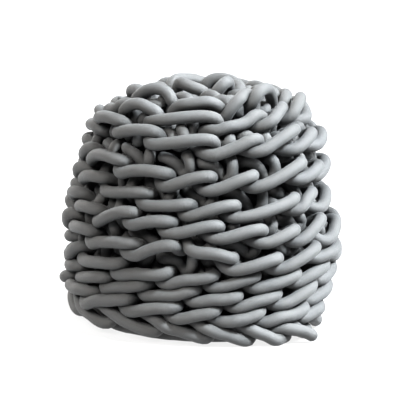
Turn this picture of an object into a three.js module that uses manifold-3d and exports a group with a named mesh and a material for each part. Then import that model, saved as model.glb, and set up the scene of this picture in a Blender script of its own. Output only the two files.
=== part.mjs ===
import * as THREE from 'three';
import Module from 'manifold-3d';
import { mergeVertices } from 'three/addons/utils/BufferGeometryUtils.js';

// A round filled pouf, crocheted from one thick soft rope. The stitches are worked in one spiral
// that starts at the top centre and runs down and round the side to the bottom edge. Sizes are in
// millimetres. The pouf stands on z = 0 with its axis on Z, and its front faces -Y.

const ROPE = 24;

// One row for each turn of the spiral, from the top centre down, where it crosses the front.
// height and radius: the rope's centre there. lean: how much lower the turn is to the right.
// drop: how much lower it hangs at the back. starts: where its stitches begin across the front,
// in degrees to the right of the middle. The rest of the turn is divided evenly.
const TURNS = [
  { height: 424, radius: 44, lean: 0, drop: 0, starts: [-160, -50, 40] },
  { height: 423, radius: 88, lean: 0, drop: 0, starts: [-72, -12, 48] },
  { height: 417, radius: 130, lean: 0, drop: 0, starts: [-62, -23, 14, 40, 70] },
  { height: 399, radius: 169, lean: -4, drop: 0, starts: [-54, -30, 2, 32, 57] },
  { height: 359, radius: 201, lean: -5, drop: 0, starts: [-76, -51, -29, 0, 21, 45, 68] },
  { height: 299, radius: 213, lean: -4, drop: 0, starts: [-70, -44, -21, -2, 21, 47, 70] },
  { height: 251, radius: 217, lean: 3, drop: 1, starts: [-75, -51, -29, -9, 10, 42, 64] },
  { height: 210, radius: 233, lean: 6, drop: 3, starts: [-71, -52, -34, -17, 2, 22, 41, 62] },
  { height: 167, radius: 240, lean: 5, drop: 6, starts: [-79, -57, -37, -12, 9, 30, 58] },
  { height: 117, radius: 231, lean: 4, drop: 9, starts: [-67, -42, -19, 1, 21, 45, 68] },
  { height: 85, radius: 227, lean: 6, drop: 12, starts: [-67, -47, -27, -5, 13, 34, 60] },
  { height: 53, radius: 226, lean: 6, drop: 8, starts: [-84, -61, -35, -15, 5, 26] },
];
const STITCH_PITCH = 84;

// The spiral's last stitch ends this many degrees round to the right.
const SPIRAL_END = 50;

// A chain runs along the bottom edge, which swells out at the front right.
const EDGE = { height: 20, radius: 213, lean: 5, starts: [-80, -56, -30, -4, 18, 39, 62] };
const SWELL = { reach: 20, azimuth: 42, spread: 32, height: 53 };
const FOOT = { height: 5, radius: 196, flatRadius: 202 };
const CROWN = { behind: 70, length: 16, out: 8 };

// Sections across a stitch, in rope diameters, at stations along it in stitch lengths from where
// it begins. Each bar comes out behind and below the bar before it and climbs to the right, so
// both bars show around that place. up and out: five points from the upper side to the lower.
const STITCH_SECTIONS = [
  { at: -0.3, up: [0.76, 0.57, 0.24, -0.1, -0.28], out: [-0.38, 0.36, 0.5, 0.36, -0.38] },
  { at: -0.1, up: [0.84, 0.54, -0.04, -0.42, -0.78], out: [-0.38, 0.46, 0.14, 0.3, -0.38] },
  { at: 0.1, up: [0.78, 0.42, 0.06, -0.5, -0.84], out: [-0.38, 0.28, 0.12, 0.48, -0.38] },
  { at: 0.3, up: [0.26, 0.07, -0.26, -0.6, -0.78], out: [-0.38, 0.36, 0.5, 0.36, -0.38] },
];
const STITCH_REACH = 1.68;
const COURSE_FILL = 0.93;

// The rope's cut end comes out of the edge at the front right and runs down to the floor. Its
// middle line, from where it leaves the edge to the tip.
const ROPE_END_PATH = [
  { azimuth: 33, radius: 230, height: 20 },
  { azimuth: 42, radius: 240, height: 25 },
  { azimuth: 48, radius: 254, height: 24 },
  { azimuth: 50, radius: 270, height: 16 },
  { azimuth: 49, radius: 288, height: 12 },
];
const ROPE_END = { sides: 8, steps: 7, gap: 0.3 };

const ROPE_FINISH = { color: 0x6f7276, roughness: 0.6, metalness: 0 };

const DEGREE = Math.PI / 180;
const PROFILE_STEPS = 10;

// The profile of the rope's middle surface from the top centre to the foot, as points with the
// length run so far. knots are the lengths at which the turns and the edge cross the front.
function buildProfile() {
  const rows = [...TURNS, EDGE, FOOT];
  const points = [new THREE.Vector2(0, TURNS[0].height)];
  rows.forEach((row) => points.push(new THREE.Vector2(row.radius, row.height)));
  const table = new THREE.SplineCurve(points).getPoints(PROFILE_STEPS * rows.length);
  const lengths = [0];
  for (let i = 1; i < table.length; i += 1) {
    lengths.push(lengths[i - 1] + table[i].distanceTo(table[i - 1]));
  }
  const knots = rows.map((row, i) => lengths[PROFILE_STEPS * (i + 1)]);
  return { table, lengths, knots };
}

const PROFILE = buildProfile();

// Point and outward direction on the profile at a length from the top centre.
function profileAt(length) {
  const { table, lengths } = PROFILE;
  let i = 1;
  while (i < lengths.length - 1 && lengths[i] < length) i += 1;
  const share = (length - lengths[i - 1]) / (lengths[i] - lengths[i - 1]);
  const point = new THREE.Vector2().lerpVectors(table[i - 1], table[i], share);
  const along = new THREE.Vector2().subVectors(table[i], table[i - 1]).normalize();
  return { point, outward: new THREE.Vector2(-along.y, along.x) };
}

// A column of the turns' table at a place on the spiral, which is counted in turns.
function column(values, turn) {
  const i = Math.min(Math.max(Math.floor(turn), 0), values.length - 2);
  return THREE.MathUtils.lerp(values[i], values[i + 1], turn - i);
}

const SPIRAL_ROWS = [...TURNS, EDGE];
const LEANS = SPIRAL_ROWS.map((row) => row.lean);
const DROPS = SPIRAL_ROWS.map((row) => row.drop ?? 0);
const MIDDLES = PROFILE.knots.slice(0, SPIRAL_ROWS.length);

// Length on the profile of the spiral's middle line.
function spiralLength(turn) {
  const angle = turn * 360 * DEGREE;
  const drop = (column(DROPS, turn) * (1 - Math.cos(angle))) / 2;
  return column(MIDDLES, turn) + column(LEANS, turn) * Math.sin(angle) + drop;
}

// Length on the profile of the bottom edge's middle line.
function edgeLength(turn) {
  return MIDDLES.at(-1) + EDGE.lean * Math.sin(turn * 360 * DEGREE);
}

// How far the side swells out near the floor.
function swell(angle, height) {
  const away = angle - SWELL.azimuth * DEGREE;
  const around = Math.atan2(Math.sin(away), Math.cos(away)) / (SWELL.spread * DEGREE);
  return SWELL.reach * Math.exp(-(around ** 2) - (height / SWELL.height) ** 2);
}

// A point at a place on the spiral, a length on the profile and a depth out from it.
function surfacePoint(turn, length, out) {
  const angle = turn * 360 * DEGREE;
  const { point, outward } = profileAt(length);
  const height = point.y + outward.y * out;
  const radius = point.x + outward.x * out + swell(angle, height);
  return new THREE.Vector3(radius * Math.sin(angle), -radius * Math.cos(angle), height);
}

// Where the stitches begin, in turns: at the listed places, and evenly between those far apart.
function stitchStarts(listed, lengthAt) {
  const starts = [listed[0]];
  for (const next of listed.slice(1)) {
    const last = starts.at(-1);
    const around = (next - last) * 360 * DEGREE * profileAt(lengthAt((last + next) / 2)).point.x;
    const count = Math.max(1, Math.round(around / STITCH_PITCH));
    for (let i = 1; i <= count; i += 1) starts.push(last + ((next - last) * i) / count);
  }
  return starts;
}

// Columns of five points each, from the upper side of the course to the lower, four to a stitch.
function stitchColumns(starts, { lengthAt, roomAt, slopesDown = false, grow = 0 }) {
  const columns = [];
  starts.forEach((start, k) => {
    const before = k > 0 ? start - starts[k - 1] : starts[1] - starts[0];
    const after = starts[k + 1] - start;
    for (const { at, up, out } of STITCH_SECTIONS) {
      if (at > 0 && k === starts.length - 1) continue;
      const turn = start + at * (at < 0 ? before : after);
      const scale = Math.min(ROPE, (COURSE_FILL * roomAt(turn)) / STITCH_REACH);
      const points = up.map((value, i) => surfacePoint(
        turn,
        lengthAt(turn) + (slopesDown ? value : -value) * scale,
        out[i] * ROPE + grow,
      ));
      columns.push({ turn, points: slopesDown ? points.reverse() : points });
    }
  });
  return columns;
}

// A closed mesh, added to point by point and face by face.
class Skin {
  constructor() {
    this.positions = [];
    this.index = [];
  }

  addPoint(point) {
    this.positions.push(point.x, point.y, point.z);
    return this.positions.length / 3 - 1;
  }

  addColumns(columns) {
    return columns.map(({ turn, points }) => ({ turn, ids: points.map((p) => this.addPoint(p)) }));
  }

  addFace(a, b, c) {
    this.index.push(a, b, c);
  }

  // Joins two neighbouring columns of points, the second to the right of the first.
  joinColumns(left, right) {
    for (let i = 1; i < left.ids.length; i += 1) {
      this.addFace(left.ids[i - 1], left.ids[i], right.ids[i - 1]);
      this.addFace(right.ids[i - 1], left.ids[i], right.ids[i]);
    }
  }

  // Joins two rows of points that run to the right with different spacings, the first above.
  joinRows(upper, lower) {
    let i = 0;
    let k = 0;
    while (i < upper.length - 1 || k < lower.length - 1) {
      const lowerIsDone = k === lower.length - 1;
      const upperIsNext = i < upper.length - 1 && upper[i + 1].turn <= lower[k + 1]?.turn;
      if (lowerIsDone || upperIsNext) {
        this.addFace(upper[i].id, lower[k].id, upper[i + 1].id);
        i += 1;
      } else {
        this.addFace(upper[i].id, lower[k].id, lower[k + 1].id);
        k += 1;
      }
    }
  }

  // Closes a loop of points with a fan of faces round one more point.
  closeLoop(centre, loop) {
    loop.forEach((id, i) => this.addFace(centre, id, loop[(i + 1) % loop.length]));
  }

  toGeometry() {
    const geometry = new THREE.BufferGeometry();
    geometry.setAttribute('position', new THREE.Float32BufferAttribute(this.positions, 3));
    geometry.setIndex(this.index);
    return geometry;
  }
}

const rowPoint = (place, row, later = 0) => ({ turn: place.turn + later, id: place.ids.at(row) });

// The spiral of stitches, from the crown down to the last turn's lower side. Returns that side
// as a row of points, which goes once round and up the end of the spiral.
function addSpiral(skin, grow) {
  const roomAt = (turn) => Math.min(
    spiralLength(turn) - spiralLength(turn - 1),
    spiralLength(turn + 1) - spiralLength(turn),
  );
  const listed = TURNS.flatMap((row, i) => row.starts.map((start) => i + start / 360));
  listed.push(TURNS.length - 1 + SPIRAL_END / 360);
  const starts = stitchStarts(listed, spiralLength);
  const spiral = skin.addColumns(stitchColumns(starts, { lengthAt: spiralLength, roomAt, grow }));
  spiral.slice(1).forEach((place, i) => skin.joinColumns(spiral[i], place));

  const first = spiral[0];
  const end = spiral.at(-1);
  const second = spiral.findIndex((place) => place.turn > first.turn + 1);
  const last = spiral.findLastIndex((place) => place.turn < end.turn - 1);
  skin.joinRows(
    spiral.slice(0, last + 1).map((place) => rowPoint(place, -1, 1)),
    spiral.slice(second).map((place) => rowPoint(place, 0)),
  );

  const crown = surfacePoint(first.turn - CROWN.behind / 360, CROWN.length, CROWN.out + grow);
  const crownLoop = spiral.slice(0, second + 1).map((place) => place.ids[0]);
  skin.closeLoop(skin.addPoint(crown), [...crownLoop, ...first.ids.slice(1).reverse()]);

  const step = (end.turn - spiral.at(-2).turn) / end.ids.length;
  const side = spiral.slice(last).map((place) => rowPoint(place, -1));
  end.ids.slice(0, -1).reverse().forEach((id, i) => side.push({ turn: end.turn + step * (i + 1), id }));
  side.push(rowPoint(spiral[last], -1, 1));
  return side;
}

// The chain along the bottom edge, from the side's last row down to the flat underside.
function addEdge(skin, side, grow) {
  const listed = EDGE.starts.map((start) => start / 360);
  const starts = stitchStarts([...listed, listed[0] + 1], edgeLength);
  const roomAt = () => MIDDLES.at(-1) - MIDDLES.at(-2);
  const columns = stitchColumns(starts, { lengthAt: edgeLength, roomAt, slopesDown: true, grow });
  const wholeTurns = Math.floor(side[0].turn - columns[0].turn);
  const ring = columns.slice(0, -2).map(({ turn, points }) => {
    const foot = surfacePoint(turn, MIDDLES.at(-1), 0).setZ(0);
    foot.multiplyScalar((FOOT.flatRadius + swell(turn * 360 * DEGREE, 0)) / foot.length());
    return { turn: turn + wholeTurns, points: [...points.slice(0, -1), foot] };
  });
  const places = skin.addColumns(ring);
  const begin = places.findLastIndex((place) => place.turn <= side[0].turn);
  const later = places.slice(0, begin + 1).map((place) => ({ turn: place.turn + 1, ids: place.ids }));
  const around = [...places.slice(begin), ...later];
  skin.joinRows(side, around.map((place) => rowPoint(place, 0)));
  around.slice(1).forEach((place, i) => skin.joinColumns(around[i], place));
  const underside = skin.addPoint(new THREE.Vector3(0, 0, 0));
  skin.closeLoop(underside, places.map((place) => place.ids.at(-1)).reverse());
}

// The whole pouf as one solid. grow moves its stitches outwards.
function poufGeometry(grow = 0) {
  const skin = new Skin();
  addEdge(skin, addSpiral(skin, grow), grow);
  return skin.toGeometry();
}

// The cut end of the rope, a tube along its middle line.
function ropeEndGeometry() {
  const path = new THREE.CatmullRomCurve3(ROPE_END_PATH.map((row) => new THREE.Vector3(
    row.radius * Math.sin(row.azimuth * DEGREE),
    -row.radius * Math.cos(row.azimuth * DEGREE),
    row.height,
  )));
  const section = new THREE.Shape();
  for (let i = 0; i < ROPE_END.sides; i += 1) {
    const angle = (i * 2 * Math.PI) / ROPE_END.sides;
    const point = [(ROPE / 2) * Math.cos(angle), (ROPE / 2) * Math.sin(angle)];
    if (i === 0) section.moveTo(...point);
    else section.lineTo(...point);
  }
  return new THREE.ExtrudeGeometry(section, { steps: ROPE_END.steps, extrudePath: path });
}

const wasm = await Module();
wasm.setup();

function toSolid(source) {
  const geometry = source.clone();
  geometry.deleteAttribute('normal');
  geometry.deleteAttribute('uv');
  const merged = mergeVertices(geometry);
  return new wasm.Manifold(new wasm.Mesh({
    numProp: 3,
    vertProperties: new Float32Array(merged.attributes.position.array),
    triVerts: new Uint32Array(merged.index.array),
  }));
}

function toGeometry(solid) {
  const mesh = solid.getMesh();
  const geometry = new THREE.BufferGeometry();
  geometry.setAttribute('position', new THREE.Float32BufferAttribute(mesh.vertProperties, 3));
  geometry.setIndex([...mesh.triVerts]);
  return geometry;
}

function namedMesh(name, geometry, finish) {
  geometry.computeVertexNormals();
  const mesh = new THREE.Mesh(geometry, new THREE.MeshStandardMaterial(finish));
  mesh.name = name;
  return mesh;
}

const ropeEnd = toSolid(ropeEndGeometry()).subtract(toSolid(poufGeometry(ROPE_END.gap)));

const group = new THREE.Group();
group.add(namedMesh('pouf', poufGeometry(), ROPE_FINISH));
group.add(namedMesh('rope_end', toGeometry(ropeEnd), ROPE_FINISH));

export default group;
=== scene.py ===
"""A crocheted rope pouf: one thick soft rope, worked in a spiral from the top centre to the floor."""

import math

import bpy
import numpy as np
from mathutils import Euler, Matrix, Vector


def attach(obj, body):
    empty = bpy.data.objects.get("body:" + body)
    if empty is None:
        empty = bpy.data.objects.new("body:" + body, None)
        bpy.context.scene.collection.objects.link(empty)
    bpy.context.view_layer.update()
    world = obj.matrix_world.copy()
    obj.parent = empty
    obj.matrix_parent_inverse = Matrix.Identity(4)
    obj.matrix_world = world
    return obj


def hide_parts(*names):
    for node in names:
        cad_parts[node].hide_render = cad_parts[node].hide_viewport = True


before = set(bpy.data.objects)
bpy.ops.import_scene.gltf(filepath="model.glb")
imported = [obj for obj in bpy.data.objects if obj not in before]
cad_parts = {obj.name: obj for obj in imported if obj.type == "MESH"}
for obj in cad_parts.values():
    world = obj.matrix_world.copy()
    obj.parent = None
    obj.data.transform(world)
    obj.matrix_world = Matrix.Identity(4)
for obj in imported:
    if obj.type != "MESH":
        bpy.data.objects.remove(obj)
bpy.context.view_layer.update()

# All random draws come from here, so every run makes the same pouf.
rng = np.random.default_rng(7)

# Lengths in the tables below are in millimetres, and Blender's are in metres.
MM = 0.001

# The rope's diameter, the shares of it that the rope has along its front bars and where the work
# draws it out behind them, how much it's flattened where it lies on the floor, and how far above
# the floor its skin stays.
ROPE = 24.0
FULL = 0.93
DRAWN = 0.86
FLATTENED = 0.8
CLEAR = 0.05

# One row for each turn of the spiral, from the top centre down, where it crosses the front:
# height and radius of the rope's middle surface, how much lower it is to the right (lean) and at
# the back (drop), how far its posts and arcs stand back from their usual depth, in rope diameters
# (sunk), and where its stitches begin, in degrees to the right of the middle. For each of these
# stitches, left, right and arch are how far the left end, the right end and the middle of its
# front bar are raised, and longer is how many degrees farther it reaches to the right.
TURNS = [
    dict(
        height=414, radius=50, lean=0, drop=0, sunk=-0.5,
        starts=[-60, 14, 60, 110, 164],
        left=[32, 12, 0, 0, 0],
        right=[-20, -4, 0, 6, 6],
        arch=[0, 20, 0, 6, 1],
        longer=[0, 6, 0, 4, 14],
    ),
    dict(
        height=413, radius=88, lean=0, drop=0, sunk=-0.7,
        starts=[-72, -34, 6, 36],
        left=[-8, -16, -14, 0],
        right=[-16, -12, -14, 0],
    ),
    dict(
        height=407, radius=128, lean=0, drop=0, sunk=-0.7,
        starts=[-106, -68, -23, 14, 31, 66, 98],
        left=[6, 4, 14, -2, 26, 0, 0],
        right=[4, 12, -8, 14, -18, -14, -6],
        arch=[10, 14, 0, 4, 28, 12, 0],
        longer=[0, -12, 0, 8, 0, 0, 0],
    ),
    dict(
        height=392, radius=164, lean=-4, drop=0, sunk=0.1,
        starts=[-56, -36, 2, 32, 57],
        left=[18, 8, -8, 0, 12],
        right=[0, -4, -8, 4, -4],
        arch=[14, 0, 0, 4, 26],
        longer=[-3, 3, 7, 0, 0],
    ),
    dict(
        height=359, radius=195, lean=-2, drop=0, sunk=-0.1,
        starts=[-76, -53, -31, 0, 21, 45, 68],
        left=[24, 16, 9, -4, 2, 0, 3],
        right=[14, 0, -3, 0, 16, 4, -4],
        arch=[8, 8, 0, 0, 0, 0, 0],
        longer=[0, 2, 3, 6, 6, 0, 0],
    ),
    dict(
        height=301, radius=209, lean=-1, drop=0, sunk=-0.2,
        starts=[-75, -48, -23, -2, 21, 47, 70],
        left=[-2, 6, -16, -12, -6, 5, 8],
        right=[-9, -8, -6, -1, 17, 3, 3],
        arch=[16, 4, 4, 0, 0, 0, 0],
        longer=[3, 3, 3, 0, 4, 0, 0],
    ),
    dict(
        height=253, radius=217, lean=6, drop=1, sunk=0.15,
        starts=[-80, -56, -32, -9, 10, 42, 64],
        left=[16, 10, 3, -7, -10, 8, 0],
        right=[6, 0, -14, -4, 2, 14, 0],
        longer=[-2, 3, 1, 1, 4, -3, 0],
    ),
    dict(
        height=212, radius=230, lean=9, drop=3, sunk=0.15,
        starts=[-75, -56, -37, -18, 2, 22, 41, 62],
        left=[2, -12, 5, -4, -4, -8, -8, -12],
        right=[-18, 3, -4, 2, 0, -6, 12, -10],
        arch=[6, 6, 2, 2, 4, 0, 0, 0],
        longer=[0, 4, 2, 3, 3, 1, -1, 0],
    ),
    dict(
        height=169, radius=236, lean=8, drop=6, sunk=0.15,
        starts=[-79, -60, -38, -8, 9, 30, 58],
        left=[15, 0, -8, 18, -6, -12, 0],
        right=[-4, -9, 9, -8, -3, 10, 0],
        arch=[0, 4, -1, 10, 0, 0, 0],
        longer=[2, 6, -5, 1, 0, -3, 0],
    ),
    dict(
        height=121, radius=229, lean=6, drop=9, sunk=0.15,
        starts=[-72, -45, -20, 1, 21, 45, 68],
        left=[6, -4, -6, -2, -2, 5, 5],
        right=[2, -3, 4, 7, 6, 18, 5],
        arch=[0, 8, 0, 0, 0, 0, 0],
        longer=[5, 4, 2, 1, -1, 0, 0],
    ),
    dict(
        height=91, radius=226, lean=8, drop=12, sunk=0.15,
        starts=[-73, -50, -28, -5, 13, 34, 60],
        left=[4, -2, 2, 3, -4, 0, 0],
        right=[3, 4, 8, -3, 5, 16, 5],
        longer=[2, 1, 2, 2, 0, -2, 0],
    ),
    dict(
        height=60, radius=225, lean=8, drop=8, sunk=0.15,
        starts=[-86, -63, -37, -15, 5, 26, 50],
        left=[14, -9, 0, -1, 0, 3, 6],
        right=[-8, 6, 9, 5, 0, 5, 6],
        longer=[6, 4, 4, 1, 0, 2, -4],
    ),
]

# The stitches at the sides and the back are guessed: how far apart they lie, by how much of that
# each may be out of line, and how unevenly their bars are raised.
STITCH_PITCH = 84.0
OUT_OF_LINE = 0.12
UNEVENNESS = 5.0

# Where the spiral ends on its last turn, in degrees to the right of the middle.
SPIRAL_END = 74.0

# The chain along the bottom edge, in the terms of the turns, and the foot of the profile, where it
# turns in under the edge.
EDGE = dict(
    height=24, radius=213, lean=5,
    starts=[-80, -60, -30, -4, 18, 39, 62],
    left=[18, 21, 18, 14, 6, 2, 0],
    right=[2, 5, 2, -2, -6, -8, 0],
    longer=[12, 10, 9, 6, 5, 0, 0],
)
FOOT = dict(height=5, radius=196)

# Where the side swells out or in: how far, at which azimuth and height, and how many degrees around
# and millimetres up from there it fades.
SWELLS = [
    dict(reach=20, azimuth=42, spread=32, height=0, over=53),
    dict(reach=-13, azimuth=-100, spread=35, height=0, over=32),
    dict(reach=-11, azimuth=92, spread=40, height=245, over=45),
]

# The pouf isn't quite straight: how far its middle stands to the right at these heights. The crown
# has sunk at its left rim, by this depth where it's both full millimetres to the left and high
# millimetres up, less towards begins and low, and by no more than most times the depth.
SKEW = dict(heights=[0, 60, 140, 190, 230, 300, 360, 440], right=[-4, -1, 8, 7, 4, 5, 3, 0])
SAG = dict(depth=14, begins=60, full=150, most=1.2, low=330, high=400)

# The rope's start, wound up tightly in the middle of the crown: its last turn's radius, the step
# from turn to turn, the height of its middle, how much lower its last turn lies, how far from the
# middle it begins and how far before the first stitch it ends, in turns, and its number of points.
CENTRE = dict(radius=54, pitch=21.5, height=410, fall=4, begins=0.2, before=0.05, points=24)

# The underside: the rope wound flat on the floor, from the edge to the middle. Its first turn lies
# one rope above the floor, and comes down to it in this last part of the turn. The rope ends this
# part of a turn before the middle. It's wound a little wide, because the smoothing of its bends
# draws its inner turns in.
BASE = dict(radius=198, pitch=22.2, coming_down=0.2, ends=0.15, wide=12, points_a_turn=24)

# The middle line of the rope's cut end, from the edge to the tip.
ROPE_END_PATH = [
    dict(azimuth=33, radius=230, height=20),
    dict(azimuth=39, radius=236, height=27),
    dict(azimuth=45, radius=244, height=28),
    dict(azimuth=49, radius=254, height=22),
    dict(azimuth=51.5, radius=264, height=14),
]

# The way of the rope through one stitch. at: along the course, in stitch lengths from where the
# stitch begins. room: height in shares of the distance to the course above. up and out: further
# height, and depth out of the course's middle surface, in rope diameters.
FRONT_BAR = [
    dict(at=-0.12, up=0.25, out=-1.30),
    dict(at=-0.06, up=0.00, out=-0.85),
    dict(at=0.02, up=-0.34, out=-0.38),
    dict(at=0.13, up=-0.58, out=0.04),
    dict(at=0.31, up=-0.56, out=0.28),
    dict(at=0.54, up=-0.28, out=0.44),
    dict(at=0.78, up=0.04, out=0.53),
    dict(at=1.00, up=0.25, out=0.52),
    dict(at=1.13, up=0.30, out=0.34),
    dict(at=1.18, up=0.20, out=-0.05),
    dict(at=1.16, up=0.06, out=-0.60),
]
BACK_LEG = [
    dict(at=1.12, up=0.20, out=-1.25),
    dict(at=0.96, up=0.20, out=-1.90),
    dict(at=0.82, room=0.5, out=-2.30),
    dict(at=0.76, room=1.0, up=0.35, out=-2.00),
    dict(at=0.73, room=1.0, up=0.30, out=-1.30),
]
POST = [
    dict(at=0.72, room=0.85, out=-0.85),
    dict(at=0.72, room=0.66, out=-0.60),
    dict(at=0.73, room=0.48, out=-0.50),
    dict(at=0.74, room=0.30, out=-0.60),
    dict(at=0.75, up=0.10, out=-0.95),
    dict(at=0.74, up=-0.30, out=-1.35),
]
ARC = [
    dict(at=0.66, up=-0.50, out=-1.60),
    dict(at=0.56, up=-0.25, out=-1.45),
    dict(at=0.50, up=0.25, out=-1.05),
    dict(at=0.40, room=0.34, out=-0.75),
    dict(at=0.18, room=0.47, out=-0.66),
    dict(at=-0.04, room=0.53, out=-0.82),
    dict(at=-0.20, room=0.53, out=-1.30),
]
REAR_STRAND = [
    dict(at=-0.18, room=0.48, out=-1.90),
    dict(at=0.02, room=0.72, out=-2.30),
    dict(at=0.30, room=0.70, out=-2.40),
    dict(at=0.52, room=0.28, out=-2.30),
    dict(at=0.74, room=0.10, up=0.20, out=-1.80),
]

# How firmly the rope keeps its place when the ropes press each other apart.
HOLD_FRONT = 1.0
HOLD_INSIDE = 0.25

# The routes in the order in which the rope takes them, and how far each strays at random from its
# place, in rope diameters.
STITCH = [
    dict(route=FRONT_BAR, hold=HOLD_FRONT, strays=0.04),
    dict(route=BACK_LEG, hold=HOLD_INSIDE, strays=0.0),
    dict(route=POST, hold=HOLD_INSIDE, strays=0.14),
    dict(route=ARC, hold=HOLD_INSIDE, strays=0.14),
    dict(route=REAR_STRAND, hold=HOLD_INSIDE, strays=0.0),
]

# The front bar's first rows, where it comes up from behind. The very first bar goes straight on
# from the coil in the middle, without them.
COMING_UP = 2

# Where on a front bar it's raised as much as its right end, in stitch lengths, and the share of
# this that the leg behind it begins with.
BAR_END = 1.1
PASSED_ON = 0.8

# Strands are arrays with a row for each point: x, y, z, how firmly it's held, and its stitch.
HOLD_COLUMN = 3
STITCH_COLUMN = 4

# Points for each gap between those of the profile, of a route and of a settled strand, and how far
# apart the points of a strand lie while it settles and the rings of its tube afterwards.
PROFILE_STEPS = 10
ROUTE_STEPS = 6
SETTLED_STEPS = 4
BEAD = 7.0
RING = 6.0

# How the ropes settle, in so many rounds. The pairs that may touch are found anew after every few:
# points this near to each other, and this far apart if they're on one strand, in rope diameters,
# looked for in blocks. In a round each overlap is undone by the share push, less where a point has
# more than crowd of them, bends are smoothed by this share, and each point goes this share of its
# way home, times its hold. A point yields less the higher its hold is, to which base is added.
SETTLING = dict(
    rounds=80, anew=8, near=1.25, apart=1.5, block=512,
    base=0.35, push=0.9, crowd=2, smooth=0.25, home=0.06,
)

# The tubes: points around each, rings in a rounded end and how far its first one is from the tip,
# in rings, and the rings over which the thickness changes.
SIDES = dict(spiral=14, edge=14, underside=10, rope_tail=24)
END_RINGS = 4
FROM_TIP = 0.35
THICKNESS_REACH = 4

# The soft filling's lumps: how much they add to the rope's radius, and the rings that one spans.
LUMPS = dict(size=0.03, reach=4)

# The rope's front is rubbed where it faces away from this height on the pouf's axis: by this share
# everywhere, and by up to this further share higher up.
RUBBED = dict(middle=192, everywhere=0.4, higher_up=0.6)

# The rope is at its tightest where it bends with this radius or less.
TIGHT_RADIUS = 15.0

# The rope's knitted skin: wales around it, the height of a course, how steeply its stitches slant,
# in courses for the width of a wale, and the ribs that it gathers into where it bends: how much
# narrower they are along the rope, their noise scale, and the share of them that's there anyway.
KNIT = dict(wales=34, course=1.9, slant=1.2, rib_stretch=3.2, rib_scale=170, rib_least=0.12)

# How fine the skin's other features are, as noise scales, and between which values noise mostly
# lies.
GRAIN = dict(fibres=1600, heather=420, filling=55, patches=14)
NOISE_RANGE = (0.3, 0.7)

# The two greys of the rope's patches, and by how much each feature darkens and lightens them; the knit's
# share is painted shade and light, darker in its grooves and lighter on its loops.
GREY = dict(warm=(0.103, 0.102, 0.0995), cool=(0.096, 0.0995, 0.103))
SHADES = dict(patches=(0.94, 1.05), heather=(0.93, 1.07), knit=(0.90, 1.04), rubbed=(0.97, 1.10))

# The rope's roughness between its heather's low and high values, and how much rubbing adds to it.
ROUGH = dict(heather=(0.48, 0.60), rubbed=0.05)

# The spiral is cut into these pieces, each from the first stitch past this place on, in turns.
PIECES = dict(top=-1, upper_side=3.5, middle_side=6.5, lower_side=9.5)

# The photograph's view of the front, in metres and degrees, with lens and sensor in millimetres.
VIEW = dict(distance=6.05, elevation=11.0, roll=2.0, height=0.2195, lens=300.0, sensor=36.0)

# The studio: far soft lights, with their azimuth to the right of the front and their softness in
# degrees across, a faint sky, and a pale floor that reaches this many metres each way.
SUNS = [
    dict(name="key", strength=7.4, azimuth=62, elevation=50, softness=10, color=(0.92, 0.97, 1.0)),
    dict(name="rim", strength=6.4, azimuth=106, elevation=38, softness=25, color=(0.94, 0.975, 1.0)),
    dict(name="fill", strength=3.0, azimuth=-40, elevation=38, softness=30, color=(1.0, 0.975, 0.94)),
    dict(name="back", strength=1.6, azimuth=-140, elevation=28, softness=45, color=(1.0, 0.985, 0.96)),
]
SKY = dict(color=(1.0, 0.98, 0.95, 1), strength=0.015)
FLOOR = dict(reach=14, color=(0.11, 0.11, 0.11, 1), glow=0.6)


def catmull_rom(points, steps):
    """Smooth curve through the points, as steps points for each gap between them."""
    p = np.vstack([points[:1], points, points[-1:]]).astype(float)
    t = (np.arange(steps) / steps)[None, :, None]
    a, b, c, d = p[:-3, None], p[1:-2, None], p[2:-1, None], p[3:, None]
    curve = 0.5 * (2 * b + (c - a) * t + (2 * a - 5 * b + 4 * c - d) * t**2 + (3 * b - a - 3 * c + d) * t**3)
    return np.vstack([curve.reshape(-1, p.shape[1]), points[-1:]])


def run_length(points):
    """Length run along the points, up to each of them."""
    steps = np.linalg.norm(np.diff(points[:, :3], axis=0), axis=1)
    return np.concatenate([[0.0], np.cumsum(steps)])


def resample(points, spacing):
    """The same curve with evenly spaced points. Further columns are carried along."""
    length = run_length(points)
    count = max(2, int(round(length[-1] / spacing)) + 1)
    places = np.linspace(0, length[-1], count)
    return np.column_stack([np.interp(places, length, points[:, i]) for i in range(points.shape[1])])


def unit(vectors):
    """The vectors, or the one vector, at length 1."""
    return vectors / np.linalg.norm(vectors, axis=-1, keepdims=True)


def smoothed(values, reach):
    """Values along a strand, each averaged with its neighbours up to reach places away."""
    padded = np.pad(values, reach, mode="edge")
    return np.convolve(padded, np.full(2 * reach + 1, 1 / (2 * reach + 1)), mode="valid")


def around_axis(angle, radius, height):
    """Points around the pouf's axis. The angle is 0 at the front and grows to the right."""
    return np.column_stack([radius * np.sin(angle), -radius * np.cos(angle), height])


class Profile:
    """The half-profile of the rope's middle surface, by the length run from the top centre."""

    def __init__(self):
        rows = [*TURNS, EDGE, FOOT]
        knots = np.array([[0.0, TURNS[0]["height"]]] + [[r["radius"], r["height"]] for r in rows])
        self.points = catmull_rom(knots, PROFILE_STEPS)
        self.length = run_length(np.column_stack([self.points, np.zeros(len(self.points))]))
        self.turn_lengths = self.length[PROFILE_STEPS:-1:PROFILE_STEPS][: len(TURNS) + 1]
        along = np.gradient(self.points, self.length, axis=0)
        along /= np.linalg.norm(along, axis=1)[:, None]
        self.outward = np.column_stack([-along[:, 1], along[:, 0]])

    def at(self, length):
        """Radius and height there, and how much a step outwards adds to each."""
        point = [np.interp(length, self.length, self.points[:, i]) for i in (0, 1)]
        outward = [np.interp(length, self.length, self.outward[:, i]) for i in (0, 1)]
        return (*point, *outward)


PROFILE = Profile()
SPIRAL_ROWS = [*TURNS, EDGE]
TURN_NUMBERS = np.arange(len(SPIRAL_ROWS))


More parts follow.
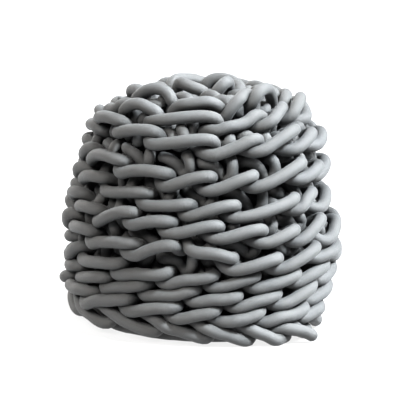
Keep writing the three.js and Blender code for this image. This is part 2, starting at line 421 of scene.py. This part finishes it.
def column(values, turn):
    """A column of the turns' table at places on the spiral, run on in a straight line above it."""
    inside = np.interp(turn, TURN_NUMBERS, values)
    return inside + np.minimum(turn, 0) * (values[1] - values[0])


def spiral_length(turn):
    """Length on the profile of the spiral's middle line, at places counted in turns."""
    angle = 2 * np.pi * turn
    lean = column([row["lean"] for row in SPIRAL_ROWS], turn)
    drop = column([row.get("drop", 0) for row in SPIRAL_ROWS], turn)
    middle = column(PROFILE.turn_lengths, turn)
    return middle + lean * np.sin(angle) + drop * (1 - np.cos(angle)) / 2


def edge_length(turn):
    """Length on the profile of the bottom edge's middle line."""
    return PROFILE.turn_lengths[-1] + EDGE["lean"] * np.sin(2 * np.pi * turn)


def swell(angle, height):
    """How far the side stands out or in there."""
    reach = 0.0
    for row in SWELLS:
        away = angle - math.radians(row["azimuth"])
        around = np.arctan2(np.sin(away), np.cos(away)) / math.radians(row["spread"])
        reach = reach + row["reach"] * np.exp(-(around**2) - ((height - row["height"]) / row["over"]) ** 2)
    return reach


def settled(points):
    """The points with the whole pouf's slight skew, and the sunken left rim of its crown."""
    x, y, z = points.T
    aside = np.clip((-x - SAG["begins"]) / (SAG["full"] - SAG["begins"]), 0, SAG["most"])
    high = np.clip((z - SAG["low"]) / (SAG["high"] - SAG["low"]), 0, 1)
    skew = np.interp(z, SKEW["heights"], SKEW["right"])
    return np.column_stack([x + skew, y, z - SAG["depth"] * aside * high])


def surface_points(turn, length, out):
    """Points at places on the spiral, lengths on the profile and depths out from it."""
    angle = 2 * np.pi * np.asarray(turn)
    radius, height, out_radius, out_height = PROFILE.at(length)
    height = height + out_height * out
    radius = radius + out_radius * out + swell(angle, height)
    return settled(around_axis(angle, radius, height))


def stitch_table(listed, length_at):
    """A line for each stitch: where it begins, in turns, then left, right, arch and longer.

    listed has these lines for the known stitches. Between far ones, more are put in evenly, each a
    little out of line. The last line only ends the last stitch.
    """
    table = [listed[0]]
    for following in listed[1:]:
        last, ahead = table[-1][0], following[0] - table[-1][0]
        radius = PROFILE.at(length_at(last + ahead / 2))[0]
        count = max(1, round(ahead * 2 * math.pi * radius / STITCH_PITCH))
        for i in range(1, count):
            left, right, arch = rng.normal(0, UNEVENNESS, 3)
            number = i + rng.uniform(-OUT_OF_LINE, OUT_OF_LINE)
            table.append((last + ahead * number / count, left, right, arch, 0.0))
        table.append(following)
    return np.array(table)


def listed_stitches(rows):
    """The rows' stitches, one line each, with their places counted in turns."""
    lines = []
    for number, row in enumerate(rows):
        none = [0.0] * len(row["starts"])
        extra = [row.get(name, none) for name in ("left", "right", "arch", "longer")]
        for start, left, right, arch, longer in zip(row["starts"], *extra):
            lines.append((number + start / 360, left, right, arch, longer / 360))
    return lines


def spiral_stitches():
    """The stitches of the whole spiral."""
    end = (len(TURNS) - 1 + SPIRAL_END / 360, 0.0, 0.0, 0.0, 0.0)
    return stitch_table([*listed_stitches(TURNS), end], spiral_length)


def edge_stitches():
    """The edge's stitches, once round from the first one past the spiral's end."""
    listed = listed_stitches([EDGE])
    return stitch_table([listed[-1], *[(line[0] + 1, *line[1:]) for line in listed]], edge_length)


def stitch_route(route, k, table, length_at, has_course_above=True, slopes_down=False, shift=(0.0, 0.0)):
    """The route's rows for stitch k, as points. shift: further height and depth, in millimetres."""
    at = np.array([row["at"] for row in route])
    up = np.array([row.get("up", 0.0) for row in route]) * ROPE
    room = np.array([row.get("room", 0.0) for row in route])
    out = np.array([row["out"] for row in route]) * ROPE
    starts = table[:, 0]
    numbers = np.arange(-1, len(starts) + 1)
    ends = [2 * starts[0] - starts[1], *starts, 2 * starts[-1] - starts[-2]]
    turn = np.interp(k + at, numbers, ends)
    if route is FRONT_BAR:
        turn = turn + table[k, 4] * np.clip(at, 0, 1)
    distance = length_at(turn) - spiral_length(turn - 1) if has_course_above else 0.0
    if slopes_down:
        up = -up
    length = length_at(turn) - up - shift[0] - room * distance
    points = surface_points(turn, length, out + shift[1])
    points[:, 2] += raised(route, at, *table[k, 1:4])
    return points


def raised(route, at, left, right, arch):
    """How far a stitch's points are raised, along its front bar and fading after it."""
    if route is FRONT_BAR:
        along = np.clip(at / BAR_END, 0, 1)
        return left + (right - left) * along + arch * 4 * along * (1 - along)
    if route is BACK_LEG:
        return right * np.linspace(PASSED_ON, 0, len(at))
    return 0.0


def with_columns(points, hold, stitch):
    """The points with their hold and stitch columns."""
    return np.column_stack([points, np.full(len(points), hold), np.full(len(points), float(stitch))])


def centre_controls(end):
    """The rope's start in the middle of the crown, up to the first stitch at this place in turns."""
    turns = CENTRE["radius"] / CENTRE["pitch"]
    turn = np.linspace(CENTRE["begins"], turns, CENTRE["points"])
    angle = 2 * np.pi * (end - CENTRE["before"] + turn - turns)
    height = CENTRE["height"] - CENTRE["fall"] * turn / turns
    return with_columns(around_axis(angle, CENTRE["pitch"] * turn, height), HOLD_FRONT, 0)


def spiral_controls():
    """The rope's route from the top centre to the last stitch, and where each stitch begins."""
    table = spiral_stitches()
    sunk_column = [*[row["sunk"] for row in TURNS], TURNS[-1]["sunk"]]
    parts = [centre_controls(table[0, 0])]
    for k in range(len(table) - 1):
        above = table[k, 0] - 1 > table[0, 0]
        sunk = ROPE * column(sunk_column, table[k, 0])
        for part in STITCH:
            route = part["route"]
            height, depth = rng.normal(0, 1, 2) * part["strays"] * ROPE
            if route in (POST, ARC):
                depth -= sunk
            if above or route is FRONT_BAR:
                points = stitch_route(route, k, table, spiral_length, above, shift=(height, depth))
                if k == 0:
                    points = points[COMING_UP:]
                parts.append(with_columns(points, part["hold"], k))
    return np.vstack(parts), table[:, 0]


def edge_controls():
    """The chain of slanting bars along the bottom edge."""
    table = edge_stitches()
    parts = []
    for k in range(len(table) - 1):
        points = stitch_route(FRONT_BAR, k, table, edge_length, has_course_above=False, slopes_down=True)
        parts.append(with_columns(points, HOLD_FRONT, k))
    return np.vstack(parts)


def base_controls():
    """The flat coil of the underside, from the edge to the middle. It begins at the back."""
    turns = BASE["radius"] / BASE["pitch"]
    turn = np.linspace(-1, turns - BASE["ends"], int((turns + 1) * BASE["points_a_turn"]))
    radius = np.hypot(BASE["radius"] - BASE["pitch"] * np.maximum(turn, 0), BASE["wide"])
    angle = 2 * np.pi * turn
    height = ROPE / 2 + ROPE * np.clip(-turn / BASE["coming_down"], 0, 1)
    points = np.column_stack([radius * np.sin(angle), radius * np.cos(angle), height])
    return with_columns(points, HOLD_FRONT, 0)


def tail_controls():
    """The rope's cut end."""
    angle = np.radians([row["azimuth"] for row in ROPE_END_PATH])
    radius = np.array([row["radius"] for row in ROPE_END_PATH])
    height = [row["height"] for row in ROPE_END_PATH]
    return with_columns(around_axis(angle, radius, height), HOLD_FRONT, 0)


def thickness(hold):
    """The rope's diameter along a strand, by how firmly each of its points keeps its place."""
    inside = np.clip((HOLD_FRONT - hold) / (HOLD_FRONT - HOLD_INSIDE), 0, 1)
    return ROPE * (FULL + (DRAWN - FULL) * inside)


def near_pairs(points, strand, along, reach):
    """Pairs of points within reach of each other that aren't close neighbours on one strand."""
    apart = SETTLING["apart"] * ROPE / BEAD
    found = []
    order = np.argsort(points[:, 2], kind="stable")
    height = points[order, 2]
    p = points[order].astype(np.float32)
    s, a = strand[order], along[order]
    for first in range(0, len(p), SETTLING["block"]):
        last = min(first + SETTLING["block"], len(p))
        end = np.searchsorted(height, height[last - 1] + reach)
        block, rest = p[first:last], p[first:end]
        squares = ((block[:, None] - rest[None]) ** 2).sum(axis=2)
        i, j = np.nonzero(squares < reach * reach)
        i, j = i + first, j + first
        keep = (j > i) & ((s[i] != s[j]) | (np.abs(a[i] - a[j]) > apart))
        found.append(np.column_stack([order[i[keep]], order[j[keep]]]))
    return np.vstack(found)


def pressed_apart(points, pairs, thick, yielding):
    """How far each point is pushed by the ropes that overlap it."""
    i, j = pairs.T
    gap = points[j] - points[i]
    far = np.linalg.norm(gap, axis=1)
    deep = np.clip((thick[i] + thick[j]) / 2 - far, 0, None)
    push = gap / np.maximum(far, 1e-6)[:, None] * deep[:, None]
    share = yielding[i] / (yielding[i] + yielding[j])
    move = np.zeros_like(points)
    for axis in range(3):
        move[:, axis] -= np.bincount(i, push[:, axis] * share, len(points))
        move[:, axis] += np.bincount(j, push[:, axis] * (1 - share), len(points))
    touched = np.bincount(i, deep > 0, len(points)) + np.bincount(j, deep > 0, len(points))
    return SETTLING["push"] * move / np.maximum(1, touched / SETTLING["crowd"])[:, None]


def relax(strands):
    """Presses overlapping ropes apart, keeps their bends smooth and lets none sink below the floor.

    Ropes that lie crowded or bend tightly still overlap somewhat afterwards.
    """
    points = np.vstack([s[:, :3] for s in strands])
    hold = np.concatenate([s[:, HOLD_COLUMN] for s in strands])
    strand = np.concatenate([np.full(len(s), i) for i, s in enumerate(strands)])
    along = np.concatenate([np.arange(len(s)) for s in strands])
    inner = np.zeros(len(points), bool)
    inner[1:-1] = (strand[2:] == strand[1:-1]) & (strand[:-2] == strand[1:-1])
    middle = np.nonzero(inner)[0]
    home = points.copy()
    yielding = 1 / (SETTLING["base"] + hold)
    thick = thickness(hold)
    for number in range(SETTLING["rounds"]):
        if number % SETTLING["anew"] == 0:
            pairs = near_pairs(points, strand, along, ROPE * SETTLING["near"])
        points += pressed_apart(points, pairs, thick, yielding)
        bend = np.zeros_like(points)
        bend[middle] = (points[middle - 1] + points[middle + 1]) / 2 - points[middle]
        points += SETTLING["smooth"] * bend
        points += SETTLING["home"] * hold[:, None] * (home - points)
        points[:, 2] = np.maximum(points[:, 2], thick / 2 - FLATTENED)
    cuts = np.cumsum([len(s) for s in strands])[:-1]
    return [np.column_stack([p, s[:, 3:]]) for p, s in zip(np.split(points, cuts), strands)]


def with_round_ends(path, radius, tangent):
    """Centres, radii and directions of the rings along a path, with those of its rounded ends."""
    bend = (np.arange(END_RINGS) + FROM_TIP) / END_RINGS * math.pi / 2
    inset, share = np.cos(bend)[:, None], np.sin(bend)
    first = path[0] - tangent[0] * radius[0] * inset
    last = (path[-1] + tangent[-1] * radius[-1] * inset)[::-1]
    centres = np.vstack([first, path, last])
    radii = np.concatenate([radius[0] * share, radius, radius[-1] * share[::-1]])
    axes = np.pad(tangent, ((END_RINGS, END_RINGS), (0, 0)), mode="edge")
    return centres, radii, axes


def ring_directions(axes, sides):
    """Directions from the middle line to the points of each ring, carried on without a twist."""
    across = np.zeros_like(axes)
    # Any slanting direction will do here, as long as no strand begins along it.
    side = np.cross(axes[0], [0.3, 0.2, 1.0])
    for i, axis in enumerate(axes):
        side = unit(side - axis * (side @ axis))
        across[i] = side
    over = np.cross(axes, across)
    turn = np.arange(sides) * 2 * math.pi / sides
    return across[:, None] * np.cos(turn)[None, :, None] + over[:, None] * np.sin(turn)[None, :, None]


def tube_faces(rings, sides):
    """Faces between the rings, and a fan at each end, around the two points that come last."""
    i = np.arange(rings - 1)[:, None] * sides
    j = np.arange(sides)[None, :]
    following = (j + 1) % sides
    quads = np.stack([i + j, i + following, i + sides + following, i + sides + j], axis=-1)
    tip = rings * sides
    first_fan = [(tip, (q + 1) % sides, q) for q in range(sides)]
    last_fan = [(tip + 1, tip - sides + q, tip - sides + (q + 1) % sides) for q in range(sides)]
    return quads.reshape(-1, 4).tolist() + first_fan + last_fan


def add_uv_map(mesh, centres, sides):
    """The map that the rope's knit follows: once around it, and along it in metres."""
    run = run_length(centres) * MM
    j = np.arange(sides)[None, :]
    around = np.stack([j, j + 1, j + 1, j], axis=-1) / sides + np.zeros((len(centres) - 1, 1, 1))
    along = np.stack([run[:-1], run[:-1], run[1:], run[1:]], axis=-1)[:, None] + np.zeros((1, sides, 1))
    fans = np.repeat([[0.5, run[0]], [0.5, run[-1]]], 3 * sides, axis=0)
    places = np.vstack([np.column_stack([around.ravel(), along.ravel()]), fans])
    mesh.uv_layers.new(name="rope").data.foreach_set("uv", places.ravel())


def add_wear(mesh, centres, directions, hold):
    """Two values at each point for the material: how tightly the rope bends, and how rubbed it is."""
    curving = np.linalg.norm(np.gradient(unit(np.gradient(centres, axis=0)), axis=0), axis=1) / RING
    tight = np.clip(smoothed(curving, reach=1) * TIGHT_RADIUS, 0, 1)
    from_middle = unit(centres - np.array([0, 0, RUBBED["middle"]]))
    facing = np.clip((directions * from_middle[:, None]).sum(axis=2), 0, 1)
    front = np.pad(np.clip(smoothed(hold, reach=2) - HOLD_INSIDE, 0, 1), END_RINGS, mode="edge")
    share = RUBBED["everywhere"] + RUBBED["higher_up"] * centres[:, 2:] / TURNS[0]["height"]
    rubbed = facing * front[:, None] * share
    sides = directions.shape[1]
    for attribute, values in (("tight", np.repeat(tight, sides)), ("rubbed", rubbed.ravel())):
        layer = mesh.attributes.new(attribute, "FLOAT", "POINT")
        layer.data.foreach_set("value", np.concatenate([values, [0.0, 0.0]]))


def tube(name, strand, sides, material):
    """A closed round tube along a strand, with its ends rounded off."""
    path, hold = strand[:, :3], strand[:, HOLD_COLUMN]
    lumps = smoothed(rng.normal(0, LUMPS["size"], len(path)), LUMPS["reach"])
    radius = smoothed(thickness(hold), THICKNESS_REACH) / 2 * (1 + lumps)
    tangent = unit(np.gradient(path, axis=0))
    centres, radii, axes = with_round_ends(path, radius, tangent)
    directions = ring_directions(axes, sides)
    vertices = (centres[:, None] + directions * radii[:, None, None]).reshape(-1, 3)
    vertices = np.vstack([vertices, centres[0], centres[-1]])
    vertices[:, 2] = np.maximum(vertices[:, 2], CLEAR)

    mesh = bpy.data.meshes.new(name)
    mesh.from_pydata((vertices * MM).tolist(), [], tube_faces(len(centres), sides))
    mesh.polygons.foreach_set("use_smooth", [True] * len(mesh.polygons))
    add_uv_map(mesh, centres, sides)
    add_wear(mesh, centres, directions, hold)
    mesh.materials.append(material)
    obj = bpy.data.objects.new(name, mesh)
    bpy.context.scene.collection.objects.link(obj)
    return obj


class Nodes:
    """Makes the nodes of a material, each linked to the ones that it reads."""

    def __init__(self, name):
        self.material = bpy.data.materials.new(name)
        self.material.use_nodes = True
        self.tree = self.material.node_tree
        self.shader = self.tree.nodes["Principled BSDF"]

    def set(self, made, inputs):
        """Links or sets a node's inputs, by the sockets' names or numbers."""
        for socket, value in inputs.items():
            if isinstance(value, bpy.types.NodeSocket):
                self.tree.links.new(value, made.inputs[socket])
            else:
                made.inputs[socket].default_value = value

    def add(self, kind, inputs, output=0, **settings):
        """A new node's output."""
        made = self.tree.nodes.new("ShaderNode" + kind)
        for setting, value in settings.items():
            setattr(made, setting, value)
        self.set(made, inputs)
        return made.outputs[output]

    def math(self, operation, *values):
        """The values put together by a maths operation."""
        return self.add("Math", dict(enumerate(values)), operation=operation)

    def spread(self, value, low, high, to_low, to_high):
        """A value between low and high, spread between to_low and to_high."""
        inputs = {"Value": value, "From Min": low, "From Max": high, "To Min": to_low, "To Max": to_high}
        return self.add("MapRange", inputs)

    def noise(self, vector, scale, detail):
        """Soft noise at these places, from 0 to 1."""
        return self.add("TexNoise", {"Vector": vector, "Scale": scale, "Detail": detail})

    def mix(self, share, first, second):
        """A colour between two, by the share of the second."""
        return self.add("Mix", {0: share, 6: (*first, 1), 7: (*second, 1)}, 2, data_type="RGBA")

    def bump(self, strength, distance, height, below=None):
        """A bump on top of the one below."""
        inputs = {"Strength": strength, "Distance": distance, "Height": height}
        if below is not None:
            inputs["Normal"] = below
        return self.add("Bump", inputs)


def rope_material():
    """Fine cotton jersey drawn over a soft filling: knit wales and courses with painted shade in their
    grooves, ribs where it bends.
    """
    n = Nodes("grey_rope")
    around, along = (n.add("SeparateXYZ", {0: n.add("UVMap", {}, uv_map="rope")}, output=i) for i in (0, 1))
    angle = n.math("MULTIPLY", around, 2 * math.pi)
    x, y = (n.math("MULTIPLY", n.math(function, angle), ROPE / 2 * MM) for function in ("COSINE", "SINE"))
    place = n.add("CombineXYZ", {0: x, 1: y, 2: along})
    ribs_place = n.add("CombineXYZ", {0: x, 1: y, 2: n.math("MULTIPLY", along, KNIT["rib_stretch"])})
    tight = n.add("Attribute", {}, output="Fac", attribute_name="tight")
    rubbed = n.add("Attribute", {}, output="Fac", attribute_name="rubbed")

    wale = n.math("FRACT", n.math("MULTIPLY", around, KNIT["wales"]))
    aside = n.math("ABSOLUTE", n.math("SUBTRACT", wale, 0.5))
    course = n.math("DIVIDE", along, KNIT["course"] * MM)
    course = n.math("ADD", course, n.math("MULTIPLY", aside, KNIT["slant"]))
    rows = n.math("SINE", n.math("MULTIPLY", course, 2 * math.pi))
    columns = n.math("COSINE", n.math("MULTIPLY", aside, 4 * math.pi))
    knit = n.math("ADD", n.math("MULTIPLY", rows, 0.5), n.math("MULTIPLY", columns, -0.5))
    fibres = n.noise(place, GRAIN["fibres"], detail=3)
    ribs = n.noise(ribs_place, KNIT["rib_scale"], detail=1)
    filling = n.noise(place, GRAIN["filling"], detail=2)
    heather = n.noise(place, GRAIN["heather"], detail=3)
    patches = n.noise(place, GRAIN["patches"], detail=2)

    shade = n.spread(patches, *NOISE_RANGE, *SHADES["patches"])
    shade = n.math("MULTIPLY", shade, n.spread(heather, *NOISE_RANGE, *SHADES["heather"]))
    # Painted shade and light from the knit's height: its grooves darker, its raised loops lighter.
    shade = n.math("MULTIPLY", shade, n.spread(knit, -1, 1, *SHADES["knit"]))
    shade = n.math("MULTIPLY", shade, n.spread(rubbed, 0, 1, *SHADES["rubbed"]))
    grey_shade = n.add("CombineXYZ", {0: shade, 1: shade, 2: shade})
    tint = n.mix(patches, GREY["warm"], GREY["cool"])
    color = n.add("VectorMath", {0: tint, 1: grey_shade}, operation="MULTIPLY")
    rough = n.spread(heather, *NOISE_RANGE, *ROUGH["heather"])
    rough = n.math("ADD", rough, n.math("MULTIPLY", rubbed, ROUGH["rubbed"]))

    gathered = n.math("MULTIPLY", ribs, n.math("ADD", tight, KNIT["rib_least"]))
    bump = n.bump(strength=0.55, distance=0.00035, height=knit)
    bump = n.bump(strength=0.35, distance=0.0003, height=fibres, below=bump)
    bump = n.bump(strength=0.7, distance=0.001, height=gathered, below=bump)
    bump = n.bump(strength=0.4, distance=0.0008, height=filling, below=bump)
    n.set(n.shader, {
        "Base Color": color,
        "Roughness": rough,
        "Normal": bump,
        "Specular IOR Level": 0.5,
        "Sheen Weight": 0.12,
        "Sheen Roughness": 0.35,
        "Sheen Tint": (0.95, 0.97, 1.0, 1),
    })
    return n.material


def add_floor():
    """A plain pale floor. Its glow makes up for the light that the lamps don't give it."""
    mesh = bpy.data.meshes.new("floor")
    s = FLOOR["reach"]
    mesh.from_pydata([(-s, -s, 0), (s, -s, 0), (s, s, 0), (-s, s, 0)], [], [(0, 1, 2, 3)])
    n = Nodes("floor")
    n.set(n.shader, {
        "Base Color": FLOOR["color"],
        "Roughness": 0.9,
        "Specular IOR Level": 0.1,
        "Emission Color": (1, 1, 1, 1),
        "Emission Strength": FLOOR["glow"],
    })
    mesh.materials.append(n.material)
    floor = bpy.data.objects.new("floor", mesh)
    bpy.context.scene.collection.objects.link(floor)


def add_sun(name, strength, azimuth, elevation, softness, color):
    """One of the far soft lights."""
    data = bpy.data.lights.new(name, "SUN")
    data.energy = strength
    data.angle = math.radians(softness)
    data.color = color
    light = bpy.data.objects.new(name, data)
    a, e = math.radians(azimuth), math.radians(elevation)
    towards = Vector((math.sin(a) * math.cos(e), -math.cos(a) * math.cos(e), math.sin(e)))
    light.rotation_euler = (-towards).to_track_quat("-Z", "Y").to_euler()
    bpy.context.scene.collection.objects.link(light)


def add_camera():
    """The camera at the photograph's angle to the pouf's front."""
    data = bpy.data.cameras.new("camera")
    data.lens = VIEW["lens"]
    data.sensor_width = VIEW["sensor"]
    data.clip_start = 0.1
    data.clip_end = 100
    camera = bpy.data.objects.new("camera", data)
    e = math.radians(VIEW["elevation"])
    back = Vector((0, -math.cos(e), math.sin(e)))
    camera.location = Vector((0, 0, VIEW["height"])) + back * VIEW["distance"]
    look = (-back).to_track_quat("-Z", "Y")
    roll = Euler((0, 0, math.radians(VIEW["roll"]))).to_quaternion()
    camera.rotation_mode = "QUATERNION"
    camera.rotation_quaternion = look @ roll
    bpy.context.scene.collection.objects.link(camera)
    bpy.context.scene.camera = camera


def add_world():
    """The faint sky."""
    world = bpy.data.worlds.new("studio")
    bpy.context.scene.world = world
    world.use_nodes = True
    background = world.node_tree.nodes["Background"]
    background.inputs["Color"].default_value = SKY["color"]
    background.inputs["Strength"].default_value = SKY["strength"]


def add_studio():
    """Camera, lights and floor, with the contrast of a studio photograph."""
    bpy.context.scene.view_settings.view_transform = "Standard"
    bpy.context.scene.view_settings.look = "High Contrast"
    add_camera()
    add_world()
    add_floor()
    for row in SUNS:
        add_sun(**row)


def declare(piece, node):
    """Puts a piece of rope under the root body and hides the model's part of this node, which the piece
    stands for.
    """
    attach(piece, "root")
    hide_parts(node)


def add_spiral(strand, starts, material):
    """The spiral's pieces. Each also has the next one's first stitch, in the same place.

    The stitch numbers are smoothed like the points. At the end of that stitch they dip below its
    number once more, and only there does the piece before it end.
    """
    begins = [np.argmax(starts >= turn) for turn in PIECES.values()] + [len(starts)]
    stitch = strand[:, STITCH_COLUMN]
    for name, first, last in zip(PIECES, begins[:-1], begins[1:]):
        inside = np.nonzero((stitch >= first) & (stitch < last))[0]
        part = strand[inside[0] : inside[-1] + 2]
        declare(tube(name, part, SIDES["spiral"], material), "pouf")


def main():
    """Builds the studio, then the ropes: they're routed, settled and made into tubes."""
    add_studio()
    material = rope_material()
    controls, starts = spiral_controls()
    strands = [controls, edge_controls(), base_controls(), tail_controls()]
    strands = [resample(catmull_rom(s, ROUTE_STEPS), BEAD) for s in strands]
    strands = relax(strands)
    strands = [resample(catmull_rom(s, SETTLED_STEPS), RING) for s in strands]
    spiral, edge, base, tail = strands
    add_spiral(spiral, starts, material)
    declare(tube("edge", edge, SIDES["edge"], material), "pouf")
    declare(tube("underside", base, SIDES["underside"], material), "pouf")
    declare(tube("rope_tail", tail, SIDES["rope_tail"], material), "rope_end")


main()
